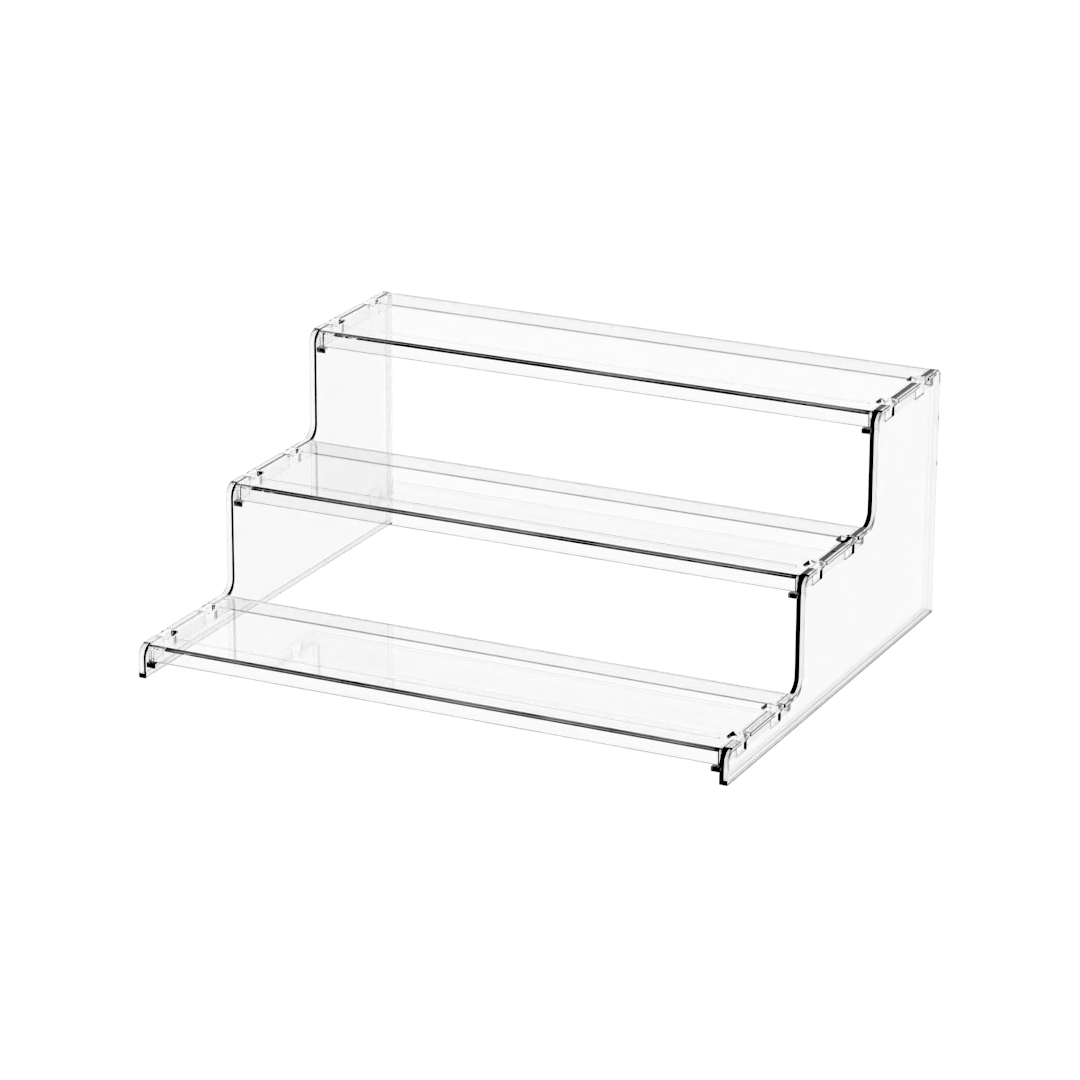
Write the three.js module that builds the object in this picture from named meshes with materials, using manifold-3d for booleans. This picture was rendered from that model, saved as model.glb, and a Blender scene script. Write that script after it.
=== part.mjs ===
// Three-step shelf riser in clear moulded plastic: two mirrored stepped side panels and three
// identical shelves that hang between them on moulded tabs. Millimetres, +Z up, +X to the right,
// front towards -Y. The origin is on the surface it stands on, under the middle of the riser.
import * as THREE from 'three';
import { mergeVertices } from 'three/addons/utils/BufferGeometryUtils.js';
import Module from 'manifold-3d';

const wasm = await Module();
wasm.setup();

// Overall size
const width = 305;
const depth = 254;
const firstTread = 16.5;
const rise = 54.8;
const run = 86;
const stepCount = 3;

// Side panels: a web on the inner side, with a rim round the whole outline that stands outwards from it
const panelThickness = 4;
const webThickness = 1.7;
const rimThickness = 1.9;
const noseRadius = 6.5;
const footRadius = 7;
const backTopRadius = 3;
const standRadius = 0.8;
const insideRadius = 0.6;
const edgeBreak = 0.3;

// Shelves, measured from the riser face of their own step and from the tread surface
const endGap = 0.2;
const shelfFront = 2.5;
const shelfBack = 79.8;
const plateThickness = 2.5;
const wallThickness = 2.2;
const lipHeight = 8.2;
const lipRadius = 1.6;
const ribOffset = 14;
const ribWidth = 1;
const ribHeight = 0.8;
const ribEndGap = 5;

// Tabs at the shelf ends, the notches in the panels' top edges that take them, and the window through the
// plate inside each tab. A tab's plate reaches out over the panel, and its narrower hanging part goes down
// inside the web's notch.
const tabWidth = 11.2;
const tabFront = 12.7;
const tabBack = 13.9;
const hangingWidth = 9.3;
const tabOutward = 3.6;
const tabRadius = 0.9;
const notchGap = 0.3;
const windowWidth = 4.2;
const windowInset = 1;
const windowRadius = 1.9;

// Ledges on the panels' inner faces, just under the front lips
const ledgeReach = 4.6;
const ledgeFront = 1;
const ledgeLength = 3.7;
const ledgeHeight = 2.4;

const frontY = -depth / 2;
const innerX = width / 2 - panelThickness;
const shelfEndX = innerX - endGap;
const shelfDepth = shelfBack - shelfFront;

function stepY(step) {
  return frontY + run * step;
}

function treadZ(step) {
  return firstTread + rise * step;
}

// A closed solid from a three.js geometry
function solidFrom(geometry) {
  const bare = geometry.clone();
  bare.deleteAttribute('normal');
  bare.deleteAttribute('uv');
  const merged = mergeVertices(bare, 1e-4);
  const mesh = new wasm.Mesh({
    numProp: 3,
    vertProperties: new Float32Array(merged.attributes.position.array),
    triVerts: new Uint32Array(merged.index.array),
  });
  return new wasm.Manifold(mesh);
}

function geometryFrom(solid) {
  const mesh = solid.getMesh();
  const geometry = new THREE.BufferGeometry();
  geometry.setAttribute('position', new THREE.BufferAttribute(new Float32Array(mesh.vertProperties), 3));
  geometry.setIndex(new THREE.BufferAttribute(new Uint32Array(mesh.triVerts), 1));
  const flat = geometry.toNonIndexed();
  flat.computeVertexNormals();
  return flat;
}

// An outline in Y and Z, extruded along X from x0 to x1
function alongX(shape, x0, x1, bevel = 0) {
  const geometry = new THREE.ExtrudeGeometry(shape, {
    depth: x1 - x0 - 2 * bevel,
    bevelEnabled: bevel > 0,
    bevelThickness: bevel,
    bevelSize: bevel,
    bevelOffset: -bevel,
    bevelSegments: 1,
    curveSegments: 10,
  });
  geometry.applyMatrix4(new THREE.Matrix4().set(
    0, 0, 1, x0 + bevel,
    1, 0, 0, 0,
    0, 1, 0, 0,
    0, 0, 0, 1,
  ));
  return solidFrom(geometry);
}

function box(x0, x1, y0, y1, z0, z1) {
  const geometry = new THREE.BoxGeometry(x1 - x0, y1 - y0, z1 - z0);
  geometry.translate((x0 + x1) / 2, (y0 + y1) / 2, (z0 + z1) / 2);
  return solidFrom(geometry);
}

// An upright block with rounded corners
function uprightBlock(xa, xb, y0, y1, z0, z1, radius) {
  const shape = new THREE.Shape();
  const x0 = Math.min(xa, xb);
  const x1 = Math.max(xa, xb);
  shape.absarc(x0 + radius, y0 + radius, radius, Math.PI, Math.PI * 1.5);
  shape.absarc(x1 - radius, y0 + radius, radius, Math.PI * 1.5, Math.PI * 2);
  shape.absarc(x1 - radius, y1 - radius, radius, 0, Math.PI / 2);
  shape.absarc(x0 + radius, y1 - radius, radius, Math.PI / 2, Math.PI);
  const options = { depth: z1 - z0, bevelEnabled: false, curveSegments: 6 };
  const geometry = new THREE.ExtrudeGeometry(shape, options);
  geometry.translate(0, 0, z0);
  return solidFrom(geometry);
}

// Outline of a side panel, moved inwards by inset: stepped front with rounded noses and filleted feet,
// straight back
function panelOutline(inset = 0) {
  const shape = new THREE.Shape();
  const backY = depth / 2 - inset;
  const topZ = treadZ(stepCount - 1) - inset;
  const outer = (radius) => Math.max(radius - inset, insideRadius);
  const stand = outer(standRadius);
  const nose = outer(noseRadius);
  const backTop = outer(backTopRadius);
  const foot = footRadius + inset;
  shape.moveTo(frontY + inset + stand, inset);
  shape.absarc(frontY + inset + stand, inset + stand, stand, -Math.PI / 2, -Math.PI, true);
  for (let step = 0; step < stepCount; step += 1) {
    const y = stepY(step) + inset;
    const z = treadZ(step) - inset;
    shape.lineTo(y, z - nose);
    shape.absarc(y + nose, z - nose, nose, Math.PI, Math.PI / 2, true);
    if (step < stepCount - 1) {
      const nextY = stepY(step + 1) + inset;
      shape.lineTo(nextY - foot, z);
      shape.absarc(nextY - foot, z + foot, foot, -Math.PI / 2, 0);
    }
  }
  shape.lineTo(backY - backTop, topZ);
  shape.absarc(backY - backTop, topZ - backTop, backTop, Math.PI / 2, 0, true);
  shape.lineTo(backY, inset + stand);
  shape.absarc(backY - stand, inset + stand, stand, 0, -Math.PI / 2, true);
  return shape;
}

// Near edges of the tabs on one shelf, front and back
function tabStarts(step) {
  const front = stepY(step) + shelfFront + tabFront;
  const back = stepY(step) + shelfBack - tabBack - tabWidth;
  return [front, back];
}

// A ledge under a front lip: upright at the front, its underside sloping up to nothing behind
function ledge(step) {
  const top = treadZ(step) - lipHeight - notchGap;
  const y0 = stepY(step) + ledgeFront;
  const shape = new THREE.Shape();
  shape.moveTo(y0, top);
  shape.lineTo(y0, top - ledgeHeight);
  shape.lineTo(y0 + ledgeLength, top);
  return alongX(shape, innerX - ledgeReach, innerX + 1);
}

// The right-hand panel. The left-hand one is its mirror image.
function sidePanel() {
  let solid = alongX(panelOutline(), innerX, width / 2, edgeBreak);
  solid = solid.subtract(alongX(panelOutline(rimThickness), innerX + webThickness, width / 2 + 1));
  for (let step = 0; step < stepCount; step += 1) {
    const z = treadZ(step);
    solid = solid.add(ledge(step));
    for (const y of tabStarts(step)) {
      const y0 = y - notchGap;
      const y1 = y + tabWidth + notchGap;
      const floor = z - lipHeight - notchGap;
      solid = solid.subtract(box(innerX - 1, width / 2 + 1, y0, y1, floor, z + 1));
    }
  }
  return solid;
}

// The side outline of a shelf: flat top with a rounded front lip and a square back
function shelfSection() {
  const shape = new THREE.Shape();
  shape.moveTo(0, -lipHeight);
  shape.lineTo(shelfDepth, -lipHeight);
  shape.lineTo(shelfDepth, 0);
  shape.lineTo(lipRadius, 0);
  shape.absarc(lipRadius, -lipRadius, lipRadius, Math.PI / 2, Math.PI);
  return shape;
}

// One shelf, hollow underneath, with its front at Y = 0 and its top face at Z = 0
function shelf() {
  const overlap = 0.5;
  const insideX = shelfEndX - wallThickness;
  let solid = alongX(shelfSection(), -shelfEndX, shelfEndX);
  const insideBack = shelfDepth - wallThickness;
  solid = solid.subtract(box(-insideX, insideX, wallThickness, insideBack, -lipHeight - 1, -plateThickness));
  const ribX = insideX - ribEndGap;
  const ribZ = -plateThickness - ribHeight;
  solid = solid.add(box(-ribX, ribX, ribOffset, ribOffset + ribWidth, ribZ, -plateThickness + overlap));
  for (const y of [tabFront, shelfDepth - tabBack - tabWidth]) {
    const y1 = y + tabWidth;
    const overPanel = uprightBlock(insideX, innerX + tabOutward, y, y1, -plateThickness, 0, tabRadius);
    const hangingX = innerX + webThickness;
    const hanging = uprightBlock(insideX, hangingX, y, y + hangingWidth, -lipHeight, 0, tabRadius);
    const windowX = shelfEndX - windowWidth;
    const windowY0 = y + windowInset;
    const windowY1 = y1 - windowInset;
    const windowZ = -plateThickness - 1;
    const window = uprightBlock(windowX, shelfEndX, windowY0, windowY1, windowZ, 1, windowRadius);
    for (const tab of [overPanel, hanging]) {
      solid = solid.add(tab).add(tab.mirror([1, 0, 0]));
    }
    solid = solid.subtract(window).subtract(window.mirror([1, 0, 0]));
  }
  return solid;
}

const clearPlastic = { color: 0xeaf0f2, roughness: 0.06, metalness: 0, transparent: true, opacity: 0.35 };

function piece(name, solid) {
  const mesh = new THREE.Mesh(geometryFrom(solid), new THREE.MeshStandardMaterial(clearPlastic));
  mesh.name = name;
  return mesh;
}

const riser = new THREE.Group();
riser.name = 'tiered_shelf_riser';

const rightPanel = sidePanel();
riser.add(piece('right_side_panel', rightPanel));
riser.add(piece('left_side_panel', rightPanel.mirror([1, 0, 0])));

const shelfSolid = shelf();
const shelfNames = ['bottom_shelf', 'middle_shelf', 'top_shelf'];
shelfNames.forEach((name, step) => {
  const mesh = piece(name, shelfSolid);
  mesh.position.set(0, stepY(step) + shelfFront, treadZ(step));
  riser.add(mesh);
});

export default riser;
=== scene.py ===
"""Looks of the clear plastic step riser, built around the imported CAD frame.
Metres, +Z up, +X to the right, front towards -Y."""

import math

import bmesh
import bpy
from mathutils import Matrix, Quaternion, Vector

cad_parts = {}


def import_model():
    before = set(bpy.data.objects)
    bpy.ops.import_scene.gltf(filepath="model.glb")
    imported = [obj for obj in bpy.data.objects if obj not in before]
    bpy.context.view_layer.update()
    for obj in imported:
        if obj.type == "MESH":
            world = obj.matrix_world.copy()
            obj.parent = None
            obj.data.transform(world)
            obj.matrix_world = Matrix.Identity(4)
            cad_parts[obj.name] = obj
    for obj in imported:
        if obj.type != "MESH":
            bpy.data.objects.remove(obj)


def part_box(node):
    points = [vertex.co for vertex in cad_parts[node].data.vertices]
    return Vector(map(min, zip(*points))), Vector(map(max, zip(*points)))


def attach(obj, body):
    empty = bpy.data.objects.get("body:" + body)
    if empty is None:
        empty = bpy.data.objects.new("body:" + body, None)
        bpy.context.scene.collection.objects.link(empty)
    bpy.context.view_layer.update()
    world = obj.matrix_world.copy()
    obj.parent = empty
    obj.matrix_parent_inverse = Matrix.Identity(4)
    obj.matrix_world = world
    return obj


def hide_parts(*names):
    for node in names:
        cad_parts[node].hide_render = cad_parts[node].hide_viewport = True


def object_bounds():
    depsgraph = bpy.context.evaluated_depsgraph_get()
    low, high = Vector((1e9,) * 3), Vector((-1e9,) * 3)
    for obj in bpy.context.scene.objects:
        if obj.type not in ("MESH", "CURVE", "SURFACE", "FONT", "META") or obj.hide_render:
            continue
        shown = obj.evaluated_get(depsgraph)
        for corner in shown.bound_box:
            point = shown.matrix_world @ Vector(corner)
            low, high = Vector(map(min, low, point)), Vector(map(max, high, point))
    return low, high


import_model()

cad_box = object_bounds()
low, high = (Vector(corner) for corner in cad_box)

MM = 0.001
SHELVES = ["bottom_shelf", "middle_shelf", "top_shelf"]

# Side panels: sizes that the frame's boxes don't give
PANEL_THICKNESS = 4 * MM
WEB_THICKNESS = 1.7 * MM
RIM_THICKNESS = 1.9 * MM
NOSE_RADIUS = 6.5 * MM
FOOT_RADIUS = 7 * MM
BACK_TOP_RADIUS = 3 * MM
STAND_RADIUS = 0.8 * MM
INSIDE_RADIUS = 0.6 * MM
LEDGE_REACH = 4.6 * MM
LEDGE_FRONT = 1 * MM
LEDGE_LENGTH = 3.7 * MM
LEDGE_HEIGHT = 2.4 * MM

# Shelves, and the gaps between them and the panels
SHELF_SETBACK = 2.5 * MM
PLATE_THICKNESS = 2.25 * MM
WALL_THICKNESS = 2.2 * MM
TAB_WIDTH = 11.2 * MM
TAB_FRONT = 12.7 * MM
TAB_BACK = 13.9 * MM
TAB_OUTWARD = 3.6 * MM
TAB_RADIUS = 0.9 * MM
HANGING_WIDTH = 9.3 * MM
WINDOW_WIDTH = 4.2 * MM
WINDOW_INSET = 1 * MM
WINDOW_RADIUS = 1.9 * MM
RIB_OFFSET = 14 * MM
RIB_WIDTH = 1 * MM
RIB_HEIGHT = 0.8 * MM
RIB_END_GAP = 5 * MM
FIT_GAP = 0.3 * MM
END_GAP = 0.2 * MM

# How far a shape reaches past the face that it cuts or joins
PAST_FACE = 1 * MM
RIB_INTO_PLATE = 0.5 * MM

# Rounding of the edges
PANEL_EDGE = 0.2 * MM
PANEL_OUTER_EDGE = 0.35 * MM
LIP_RADIUS = 1.25 * MM
SMALL_EDGE = 0.4 * MM
END_EDGE = 0.15 * MM
CUT_EDGE = 0.15 * MM
SHARPEST_CORNER = 0.02 * MM
ARC_STEPS = 10
TAB_ARC_STEPS = 6
EDGE_STEPS = 4
CUT_EDGE_STEPS = 3
CUT_EDGE_ANGLE = 40

# Material slots of a piece: its faces, the narrow rounded strips along its edges, tinted dark as painted
# shade, and the shelves' front lips
FACE = 0
EDGE = 1
LIP = 2

# A face on a rounded edge counts as level when the Z of its normal is past this
LEVEL_NORMAL = 0.25


def grey(level):
    return level, level, level, 1


# Colours
PANEL_TINT = grey(0.915)
SHELF_TINT = grey(0.94)
# Dark tints of the edge strips: painted shade in place of the dark lines that refraction makes along clear
# edges
PANEL_EDGE_SHADE_DEEP = (0.12, 0.13, 0.13, 1)
PANEL_EDGE_SHADE_FAINT = (0.3, 0.31, 0.31, 1)
SHELF_EDGE_SHADE_DEEP = (0.04, 0.045, 0.045, 1)
SHELF_EDGE_SHADE_FAINT = (0.2, 0.21, 0.21, 1)
# Painted shade: the dark line along the foot of the right-hand panel's outer face
BASE_LINE_PAINTED_SHADE = grey(0.02)
HAZE_TINT = grey(0.9)
FLOOR_TINT = grey(0.95)

# Surface detail. Each pair is the range that a noise is mapped to. A grain stretches the noise along a piece.
PLASTIC_IOR = 1.5
SMEAR_ROUGHNESS = (0.0, 0.02)
SCRATCH_ROUGHNESS = (0.0, 0.05)
EDGE_ROUGHNESS = (0.04, 0.22)
LIP_ROUGHNESS = (0.03, 0.15)
LIP_HAZE = (0.05, 0.21)
PANEL_GRAIN = (1, 0.06, 1)
SHELF_GRAIN = (0.06, 1, 1)
LIP_GRAIN = (0.15, 1, 1)
RIPPLE_DEPTH = 0.05 * MM
NICK_DEPTH = 0.03 * MM
# Where the painted shade along the right-hand panel's foot lies
BASE_LINE_SIDE = (high.x - 1 * MM, high.x - 0.4 * MM)
BASE_LINE_TOP = (0.7 * MM, 1.0 * MM)

# Surroundings: white up to WHITE_TO, then fading to black at BLACK_FROM, both as the Z of the direction
WHITE_TO = 0.5
BLACK_FROM = 0.75
KEY_STRENGTH = 2.2
KEY_SPREAD = 60
FLOOR_HALF_SIZE = 20
FLOOR_DROP = 0.2 * MM
FLOOR_ROUGHNESS = 0.9

# Camera, in degrees and millimetres of lens, and its picture
CAMERA_PLACE = (0.8977, -1.8688, 0.7774)
CAMERA_AZIMUTH = 25.716
CAMERA_ELEVATION = 19.246
CAMERA_ROLL = 0.293
CAMERA_LENS = 152
CAMERA_SENSOR = 36
BLACK_LEVEL = 0.09
CLEAR_BOUNCES = 32
GLOSSY_BOUNCES = 6


# Material nodes

def new_material(name):
    material = bpy.data.materials.new(name)
    material.use_nodes = True
    material.node_tree.nodes.clear()
    return material, material.node_tree


def mapped_noise(tree, scale, detail, stretch=(1, 1, 1)):
    """Noise in the object's own space, in metres, stretched along each axis."""
    coords = tree.nodes.new("ShaderNodeTexCoord")
    mapping = tree.nodes.new("ShaderNodeMapping")
    mapping.inputs["Scale"].default_value = stretch
    noise = tree.nodes.new("ShaderNodeTexNoise")
    noise.inputs["Scale"].default_value = scale
    noise.inputs["Detail"].default_value = detail
    tree.links.new(coords.outputs["Object"], mapping.inputs["Vector"])
    tree.links.new(mapping.outputs[0], noise.inputs["Vector"])
    return noise.outputs["Fac"]


def remap(tree, value, span, result):
    """Maps the range span to the range result, with soft ends."""
    made = tree.nodes.new("ShaderNodeMapRange")
    made.interpolation_type = "SMOOTHSTEP"
    sockets = ("From Min", "From Max", "To Min", "To Max")
    for socket, number in zip(sockets, (*span, *result)):
        made.inputs[socket].default_value = number
    tree.links.new(value, made.inputs["Value"])
    return made.outputs[0]


def calculate(tree, operation, a, b):
    made = tree.nodes.new("ShaderNodeMath")
    made.operation = operation
    tree.links.new(a, made.inputs[0])
    tree.links.new(b, made.inputs[1])
    return made.outputs[0]


def mix_tints(tree, factor, first, second):
    made = tree.nodes.new("ShaderNodeMix")
    made.data_type = "RGBA"
    made.inputs["A"].default_value = first
    made.inputs["B"].default_value = second
    tree.links.new(factor, made.inputs["Factor"])
    return made.outputs["Result"]


def mix_shaders(tree, factor, first, second):
    made = tree.nodes.new("ShaderNodeMixShader")
    tree.links.new(factor, made.inputs[0])
    tree.links.new(first, made.inputs[1])
    tree.links.new(second, made.inputs[2])
    return made.outputs[0]


def bump(tree, surface, height, strength, depth):
    made = tree.nodes.new("ShaderNodeBump")
    made.inputs["Strength"].default_value = strength
    made.inputs["Distance"].default_value = depth
    tree.links.new(height, made.inputs["Height"])
    tree.links.new(made.outputs[0], surface.inputs["Normal"])


def clear_surface(tree, tint):
    surface = tree.nodes.new("ShaderNodeBsdfPrincipled")
    surface.inputs["Base Color"].default_value = tint
    surface.inputs["Transmission Weight"].default_value = 1.0
    surface.inputs["IOR"].default_value = PLASTIC_IOR
    return surface


def finish_clear(tree, shader):
    """Lets lamp light and floor light straight through, so that the clear plastic casts no shadow."""
    out = tree.nodes.new("ShaderNodeOutputMaterial")
    through = tree.nodes.new("ShaderNodeBsdfTransparent")
    path = tree.nodes.new("ShaderNodeLightPath")
    either = calculate(tree, "MAXIMUM", path.outputs["Is Shadow Ray"], path.outputs["Is Diffuse Ray"])
    tree.links.new(mix_shaders(tree, either, shader, through.outputs[0]), out.inputs["Surface"])


# Materials

def clear_plastic(name, tint, grain):
    """Colourless polished plastic: faint smears and hairline scratches in its gloss, and slow ripples."""
    material, tree = new_material(name)
    surface = clear_surface(tree, tint)
    smears = remap(tree, mapped_noise(tree, 38, 3), (0.5, 0.75), SMEAR_ROUGHNESS)
    scratches = remap(tree, mapped_noise(tree, 900, 2, grain), (0.66, 0.74), SCRATCH_ROUGHNESS)
    tree.links.new(calculate(tree, "ADD", smears, scratches), surface.inputs["Roughness"])
    ripple_grain = tuple(0.5 + 0.5 * stretch for stretch in grain)
    bump(tree, surface, mapped_noise(tree, 55, 1, ripple_grain), 0.25, RIPPLE_DEPTH)
    return material, tree, surface


def panel_plastic():
    """The foot of the right-hand panel's outer face is painted dark, a painted shade in place of the dark line
    that the photograph shows there. What makes that line isn't known."""
    material, tree, surface = clear_plastic("clear_plastic_panel", PANEL_TINT, PANEL_GRAIN)
    coords = tree.nodes.new("ShaderNodeTexCoord")
    split = tree.nodes.new("ShaderNodeSeparateXYZ")
    tree.links.new(coords.outputs["Object"], split.inputs[0])
    outer_face = remap(tree, split.outputs["X"], BASE_LINE_SIDE, (0.0, 1.0))
    foot = remap(tree, split.outputs["Z"], BASE_LINE_TOP, (1.0, 0.0))
    painted_base_shade = calculate(tree, "MULTIPLY", outer_face, foot)
    # Painted shade: the foot's base colour turns near black
    tree.links.new(mix_tints(tree, painted_base_shade, PANEL_TINT, BASE_LINE_PAINTED_SHADE), surface.inputs["Base Color"])
    finish_clear(tree, surface.outputs[0])
    return material


def shelf_plastic():
    material, tree, surface = clear_plastic("clear_plastic_shelf", SHELF_TINT, SHELF_GRAIN)
    finish_clear(tree, surface.outputs[0])
    return material


def dull_edge_painted_shade(name, dark, pale):
    """The same plastic, duller, and unevenly darker through a dark tint that is painted shade, fitted to the
    thin dark lines along the edges in the photograph."""
    material, tree = new_material(name)
    surface = clear_surface(tree, dark)
    dulling = remap(tree, mapped_noise(tree, 160, 3), (0.35, 0.7), EDGE_ROUGHNESS)
    tree.links.new(dulling, surface.inputs["Roughness"])
    shade_patches = remap(tree, mapped_noise(tree, 30, 2), (0.4, 0.65), (0.0, 1.0))
    tree.links.new(mix_tints(tree, shade_patches, dark, pale), surface.inputs["Base Color"])
    bump(tree, surface, mapped_noise(tree, 700, 2), 0.3, NICK_DEPTH)
    finish_clear(tree, surface.outputs[0])
    return material


def lip_plastic():
    """The same plastic with a fine, uneven haze, fitted to the grey of the front lips in the photograph."""
    material, tree = new_material("shelf_lip")
    surface = clear_surface(tree, SHELF_TINT)
    streaks = mapped_noise(tree, 220, 3, LIP_GRAIN)
    tree.links.new(remap(tree, streaks, (0.35, 0.7), LIP_ROUGHNESS), surface.inputs["Roughness"])
    haze = tree.nodes.new("ShaderNodeBsdfDiffuse")
    haze.inputs["Color"].default_value = HAZE_TINT
    veil = remap(tree, streaks, (0.3, 0.7), LIP_HAZE)
    finish_clear(tree, mix_shaders(tree, veil, surface.outputs[0], haze.outputs[0]))
    return material


lip_material = lip_plastic()
# Edge materials whose dark tints are painted shade
panel_edge_painted_shade = dull_edge_painted_shade("panel_edge_painted_shade", PANEL_EDGE_SHADE_DEEP, PANEL_EDGE_SHADE_FAINT)
shelf_edge_painted_shade = dull_edge_painted_shade("shelf_edge_painted_shade", SHELF_EDGE_SHADE_DEEP, SHELF_EDGE_SHADE_FAINT)
panel_materials = (panel_plastic(), panel_edge_painted_shade, lip_material)
shelf_materials = (shelf_plastic(), shelf_edge_painted_shade, lip_material)


# Shapes

def link(obj):
    bpy.context.scene.collection.objects.link(obj)
    return obj


def object_from(bm, name, materials=panel_materials):
    """Every shape of a piece has the panels' slots, so that joining and cutting keep the slot numbers."""
    mesh = bpy.data.meshes.new(name)
    for material in materials:
        mesh.materials.append(material)
    bmesh.ops.recalc_face_normals(bm, faces=bm.faces)
    bm.to_mesh(mesh)
    bm.free()
    return link(bpy.data.objects.new(name, mesh))


def rounded_outline(corners, offset=0.0, steps=ARC_STEPS, smallest=SHARPEST_CORNER):
    """Points of a right-angled outline, anticlockwise, moved inwards by offset. Each corner is rounded by its
    radius, with steps + 1 points."""
    points = []
    count = len(corners)
    for i, (u, v, radius) in enumerate(corners):
        before_u, before_v, _ = corners[i - 1]
        after_u, after_v, _ = corners[(i + 1) % count]
        before = Vector((u - before_u, v - before_v)).normalized()
        after = Vector((after_u - u, after_v - v)).normalized()
        left_before = Vector((-before.y, before.x))
        left_after = Vector((-after.y, after.x))
        corner = Vector((u, v)) + offset * (left_before + left_after)
        turn = before.x * after.y - before.y * after.x
        bend = max(radius - offset, smallest) if turn > 0 else radius + offset
        side = 1 if turn > 0 else -1
        centre = corner - before * bend + left_before * bend * side
        for k in range(steps + 1):
            angle = math.pi / 2 * k / steps
            outwards = before * math.sin(angle) - left_before * math.cos(angle) * side
            points.append(centre + bend * outwards)
    return points


def loft(rings, name, edge_bands=(), slots=None):
    """A closed solid through rings of equal length, with its two ends filled. The edge material goes on the
    level faces of edge_bands. slots gives the material slot of other faces by their number round the ring."""
    slots = slots or {}
    bm = bmesh.new()
    loops = [[bm.verts.new(p) for p in ring] for ring in rings]
    for band, (a, b) in enumerate(zip(loops, loops[1:])):
        for i in range(len(a)):
            j = (i + 1) % len(a)
            face = bm.faces.new((a[i], a[j], b[j], b[i]))
            face.normal_update()
            level = band in edge_bands and abs(face.normal.z) > LEVEL_NORMAL
            face.material_index = EDGE if level else slots.get(i, FACE)
    bm.faces.new(loops[0])
    bm.faces.new(loops[-1])
    return object_from(bm, name)


def plate_along_x(corners, x0, x1, edge0, edge1, name, corner_slots=()):
    """An outline in Y and Z made solid between x0 and x1, with its edges rounded by edge0 and edge1. The edge
    at x1 has the edge material, whose dark tint is painted shade. corner_slots gives the material slots of the
    first corners."""
    rings = []
    for x, edge, sign in ((x0, edge0, 1), (x1, edge1, -1)):
        levels = []
        for k in range(EDGE_STEPS + 1):
            angle = math.pi / 2 * k / EDGE_STEPS
            level_x = x + sign * edge * (1 - math.cos(angle))
            outline = rounded_outline(corners, edge * (1 - math.sin(angle)))
            levels.append([Vector((level_x, p.x, p.y)) for p in outline])
        rings += levels if sign > 0 else levels[::-1]
    edge_bands = range(EDGE_STEPS + 1, len(rings))
    slots = {}
    for corner, slot in enumerate(corner_slots):
        first = corner * (ARC_STEPS + 1)
        slots.update((first + k, slot) for k in range(ARC_STEPS))
    return loft(rings, name, edge_bands, slots)


def upright_block(x0, x1, y0, y1, z0, z1, radius, name):
    """An upright block with rounded corners."""
    corners = [(x0, y0, radius), (x1, y0, radius), (x1, y1, radius), (x0, y1, radius)]
    outline = rounded_outline(corners, steps=TAB_ARC_STEPS)
    return loft([[Vector((p.x, p.y, z)) for p in outline] for z in (z0, z1)], name)


def prism_along_x(points, x0, x1, name, slots=None):
    return loft([[Vector((x, y, z)) for y, z in points] for x in (x0, x1)], name, slots=slots)


def rectangle(y0, y1, z0, z1):
    return [(y0, z0), (y1, z0), (y1, z1), (y0, z1)]


def apply_modifiers(obj):
    depsgraph = bpy.context.evaluated_depsgraph_get()
    mesh = bpy.data.meshes.new_from_object(obj.evaluated_get(depsgraph))
    obj.modifiers.clear()
    obj.data = mesh


def combine(obj, other, operation):
    """Joins other to obj, or cuts it out, and deletes other."""
    modifier = obj.modifiers.new("combine", "BOOLEAN")
    modifier.operation = operation
    modifier.solver = "EXACT"
    modifier.object = other
    apply_modifiers(obj)
    bpy.data.objects.remove(other)


def finish_edges(obj):
    """Breaks the sharp edges left by the cuts and keeps the flat faces flat under smooth shading."""
    bevel = obj.modifiers.new("edges", "BEVEL")
    bevel.width = CUT_EDGE
    bevel.segments = CUT_EDGE_STEPS
    bevel.limit_method = "ANGLE"
    bevel.angle_limit = math.radians(CUT_EDGE_ANGLE)
    bevel.use_clamp_overlap = True
    apply_modifiers(obj)
    for polygon in obj.data.polygons:
        polygon.use_smooth = True
    weighted = obj.modifiers.new("flat_faces", "WEIGHTED_NORMAL")
    weighted.keep_sharp = True
    weighted.weight = 100


# Places of one step, from 0 at the bottom to 2 at the top

def riser_y(step):
    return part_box(SHELVES[step])[0][1] - SHELF_SETBACK


def tread_z(step):
    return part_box(SHELVES[step])[1][2]


def lip_height():
    lo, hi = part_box("top_shelf")
    return hi[2] - lo[2]


def tab_starts(step):
    """The near edges of one shelf's two tabs on each side."""
    lo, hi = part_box(SHELVES[step])
    return lo[1] + TAB_FRONT, hi[1] - TAB_BACK - TAB_WIDTH


# The five pieces

def panel_corners():
    """Corners of a panel's outline in Y and Z, anticlockwise from the bottom front, each with its radius."""
    corners = [(low.y, 0.0, STAND_RADIUS), (high.y, 0.0, STAND_RADIUS), (high.y, tread_z(2), BACK_TOP_RADIUS)]
    for step in (2, 1, 0):
        corners.append((riser_y(step), tread_z(step), NOSE_RADIUS))
        if step:
            corners.append((riser_y(step), tread_z(step - 1), FOOT_RADIUS))
    return corners


def ledge(step, inner, floor_z):
    """Stands out from a panel's inner face under a front lip. Its underside slopes up to nothing behind."""
    y = riser_y(step) + LEDGE_FRONT
    points = [(y, floor_z), (y, floor_z - LEDGE_HEIGHT), (y + LEDGE_LENGTH, floor_z)]
    # Every face of the ledge takes the edge material, so its dark tint paints the whole ledge dark as painted
    # shade
    return prism_along_x(points, inner - LEDGE_REACH, inner + PAST_FACE, "ledge", {0: EDGE, 1: EDGE, 2: EDGE})


def notch(y, inner, floor_z, top_z):
    """The opening in a panel's top edge that takes the tab starting at y."""
    points = rectangle(y - FIT_GAP, y + TAB_WIDTH + FIT_GAP, floor_z, top_z + PAST_FACE)
    return prism_along_x(points, inner - PAST_FACE, high.x + PAST_FACE, "notch")


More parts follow.
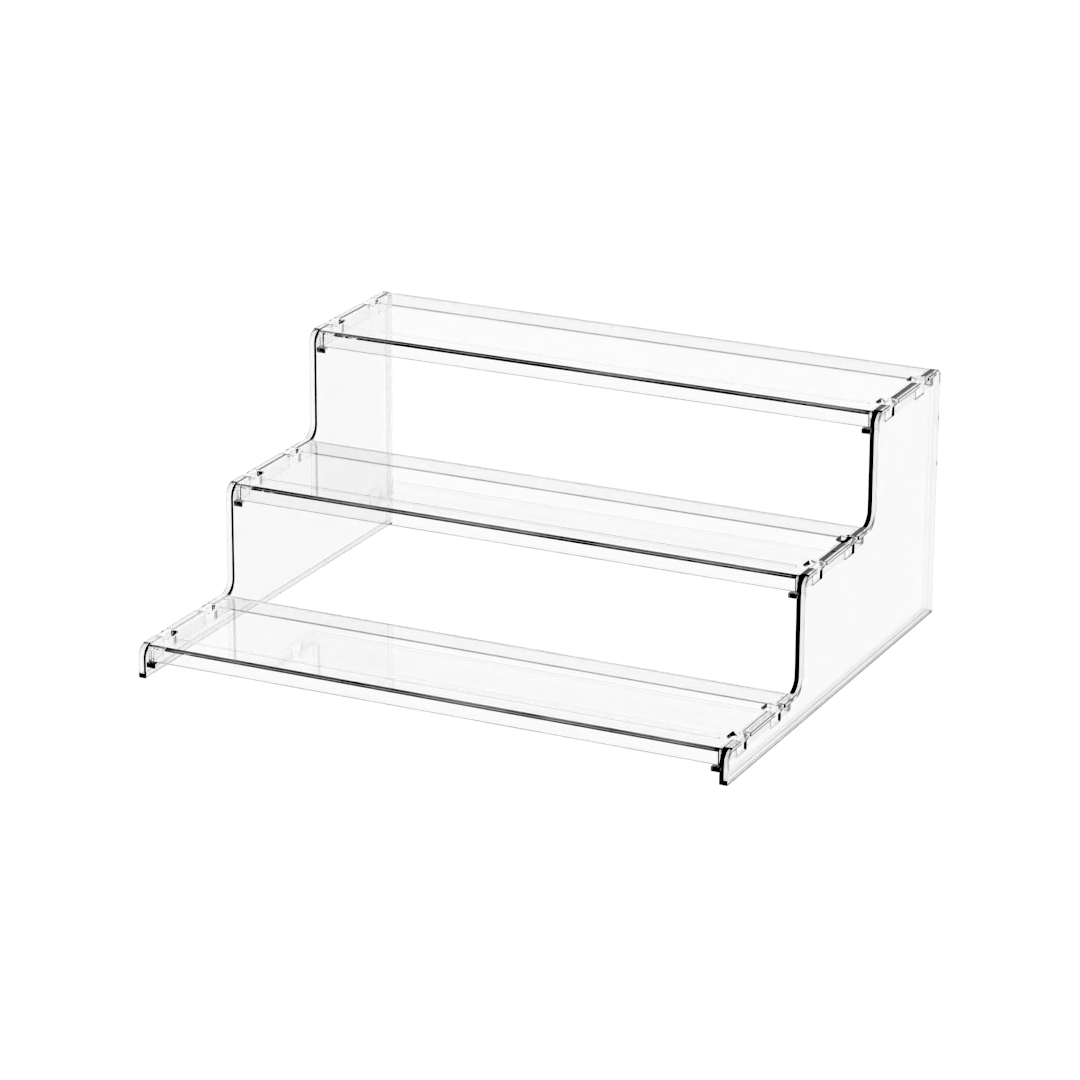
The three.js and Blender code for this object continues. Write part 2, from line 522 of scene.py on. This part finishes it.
def side_panel(name, side):
    """side is 1 for the right-hand panel and -1 for the left-hand one."""
    inner = high.x - PANEL_THICKNESS
    # The level faces of the outer face's rounded edge take the edge material: dark lines of painted shade
    panel = plate_along_x(panel_corners(), inner, high.x, PANEL_EDGE, PANEL_OUTER_EDGE, name)
    recess = [(p.x, p.y) for p in rounded_outline(panel_corners(), RIM_THICKNESS, smallest=INSIDE_RADIUS)]
    recess_x = (inner + WEB_THICKNESS, high.x + PAST_FACE)
    combine(panel, prism_along_x(recess, *recess_x, "recess"), "DIFFERENCE")
    for step in range(3):
        top_z = tread_z(step)
        floor_z = top_z - lip_height() - FIT_GAP
        combine(panel, ledge(step, inner, floor_z), "UNION")
        for y in tab_starts(step):
            combine(panel, notch(y, inner, floor_z, top_z), "DIFFERENCE")
    if side < 0:
        panel.data.transform(Matrix.Scale(-1, 4, (1, 0, 0)))
        panel.data.flip_normals()
    finish_edges(panel)
    return panel


def add_tab(body, y, side, lo_z, hi_z, end):
    """One tab: its plate reaches out over the panel, its narrower hanging part goes down inside the panel's
    notch, and a window opens through the shelf's plate inside it."""
    under = hi_z - PLATE_THICKNESS
    y1 = y + TAB_WIDTH
    root = side * (end - WALL_THICKNESS)
    outer = side * (end + END_GAP + TAB_OUTWARD)
    hanging = side * (end + END_GAP + WEB_THICKNESS)
    for reach, back, bottom in ((outer, y1, under), (hanging, y + HANGING_WIDTH, lo_z)):
        tab = upright_block(*sorted((root, reach)), y, back, bottom, hi_z, TAB_RADIUS, "tab")
        combine(body, tab, "UNION")
    window_x = sorted((side * end, side * (end - WINDOW_WIDTH)))
    window_y = (y + WINDOW_INSET, y1 - WINDOW_INSET)
    window_z = (under - PAST_FACE, hi_z + PAST_FACE)
    combine(body, upright_block(*window_x, *window_y, *window_z, WINDOW_RADIUS, "window"), "DIFFERENCE")


def shelf(name, step):
    lo, hi = (Vector(corner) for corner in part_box(SHELVES[step]))
    end = high.x - PANEL_THICKNESS - END_GAP
    inside_x = end - WALL_THICKNESS
    under = hi.z - PLATE_THICKNESS
    corners = [
        (lo.y, lo.z, SMALL_EDGE),
        (hi.y, lo.z, SMALL_EDGE),
        (hi.y, hi.z, SMALL_EDGE),
        (lo.y, hi.z, LIP_RADIUS),
    ]
    # The front-bottom, back-bottom and back-top rounded edges, and the level faces of the right-hand end's
    # edge, take the edge material: dark lines of painted shade. The front-top edge takes the lip material.
    body = plate_along_x(corners, -end, end, END_EDGE, END_EDGE, name, (EDGE, EDGE, EDGE, LIP))
    hollow = rectangle(lo.y + WALL_THICKNESS, hi.y - WALL_THICKNESS, lo.z - PAST_FACE, under)
    combine(body, prism_along_x(hollow, -inside_x, inside_x, "hollow"), "DIFFERENCE")
    rib_y = lo.y + RIB_OFFSET
    rib_x = inside_x - RIB_END_GAP
    rib = rectangle(rib_y, rib_y + RIB_WIDTH, under - RIB_HEIGHT, under + RIB_INTO_PLATE)
    combine(body, prism_along_x(rib, -rib_x, rib_x, "rib"), "UNION")
    for y in tab_starts(step):
        for side in (-1, 1):
            add_tab(body, y, side, lo.z, hi.z, end)
    finish_edges(body)
    for index, material in enumerate(shelf_materials):
        body.data.materials[index] = material
    return body


pieces = [("left_side_panel", side_panel("left_panel_clear", -1), "side_panels", "clear_plastic_panel")]
pieces.append(("right_side_panel", side_panel("right_panel_clear", 1), "side_panels", "clear_plastic_panel"))
for number, shelf_name in enumerate(SHELVES):
    pieces.append((shelf_name, shelf(shelf_name + "_clear", number), shelf_name, "clear_plastic_shelf"))
for cad_node, piece, body, slot in pieces:
    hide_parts(cad_node)
    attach(piece, body)


# Floor, light and camera

def floor():
    bm = bmesh.new()
    bmesh.ops.create_grid(bm, x_segments=1, y_segments=1, size=FLOOR_HALF_SIZE)
    material = bpy.data.materials.new("floor")
    material.use_nodes = True
    shader = material.node_tree.nodes["Principled BSDF"]
    shader.inputs["Base Color"].default_value = FLOOR_TINT
    shader.inputs["Roughness"].default_value = FLOOR_ROUGHNESS
    plane = object_from(bm, "floor", [material])
    plane.location.z = -FLOOR_DROP


def world():
    """White all round and black overhead, which is what the polished plastic mirrors and bends."""
    scene = bpy.context.scene
    scene.world = bpy.data.worlds.new("studio")
    scene.world.use_nodes = True
    tree = scene.world.node_tree
    tree.nodes.clear()
    out = tree.nodes.new("ShaderNodeOutputWorld")
    background = tree.nodes.new("ShaderNodeBackground")
    coords = tree.nodes.new("ShaderNodeTexCoord")
    split = tree.nodes.new("ShaderNodeSeparateXYZ")
    ramp = tree.nodes.new("ShaderNodeValToRGB")
    tree.links.new(coords.outputs["Generated"], split.inputs[0])
    tree.links.new(split.outputs["Z"], ramp.inputs[0])
    ramp.color_ramp.interpolation = "EASE"
    ramp.color_ramp.elements[0].position = WHITE_TO
    ramp.color_ramp.elements[0].color = grey(1)
    ramp.color_ramp.elements[1].position = BLACK_FROM
    ramp.color_ramp.elements[1].color = grey(0)
    background.inputs["Strength"].default_value = 1.0
    tree.links.new(ramp.outputs[0], background.inputs["Color"])
    tree.links.new(background.outputs[0], out.inputs["Surface"])


def key_light():
    """Broad light from above for the floor. The plastic doesn't mirror it."""
    data = bpy.data.lights.new("key", "SUN")
    data.energy = KEY_STRENGTH
    data.angle = math.radians(KEY_SPREAD)
    obj = link(bpy.data.objects.new("key", data))
    obj.visible_glossy = False
    obj.visible_transmission = False


def camera():
    data = bpy.data.cameras.new("camera")
    data.sensor_width = CAMERA_SENSOR
    data.lens = CAMERA_LENS
    obj = link(bpy.data.objects.new("camera", data))
    azimuth = math.radians(CAMERA_AZIMUTH)
    elevation = math.radians(CAMERA_ELEVATION)
    towards = Vector((
        -math.sin(azimuth) * math.cos(elevation),
        math.cos(azimuth) * math.cos(elevation),
        -math.sin(elevation),
    ))
    roll = Quaternion((0, 0, 1), math.radians(CAMERA_ROLL))
    obj.location = Vector(CAMERA_PLACE)
    obj.rotation_euler = (towards.to_track_quat("-Z", "Y") @ roll).to_euler()
    bpy.context.scene.camera = obj


def picture():
    """Plain colours with deep blacks. A wall seen edge-on is dark mostly because light that is mirrored inside
    it more than GLOSSY_BOUNCES times is lost. With a higher limit it turns pale."""
    scene = bpy.context.scene
    scene.view_settings.view_transform = "Standard"
    scene.view_settings.use_curve_mapping = True
    scene.view_settings.curve_mapping.black_level = (BLACK_LEVEL,) * 3
    scene.view_settings.curve_mapping.update()
    scene.cycles.max_bounces = CLEAR_BOUNCES
    scene.cycles.transmission_bounces = CLEAR_BOUNCES
    scene.cycles.transparent_max_bounces = CLEAR_BOUNCES
    scene.cycles.glossy_bounces = GLOSSY_BOUNCES


floor()
world()
key_light()
camera()
picture()
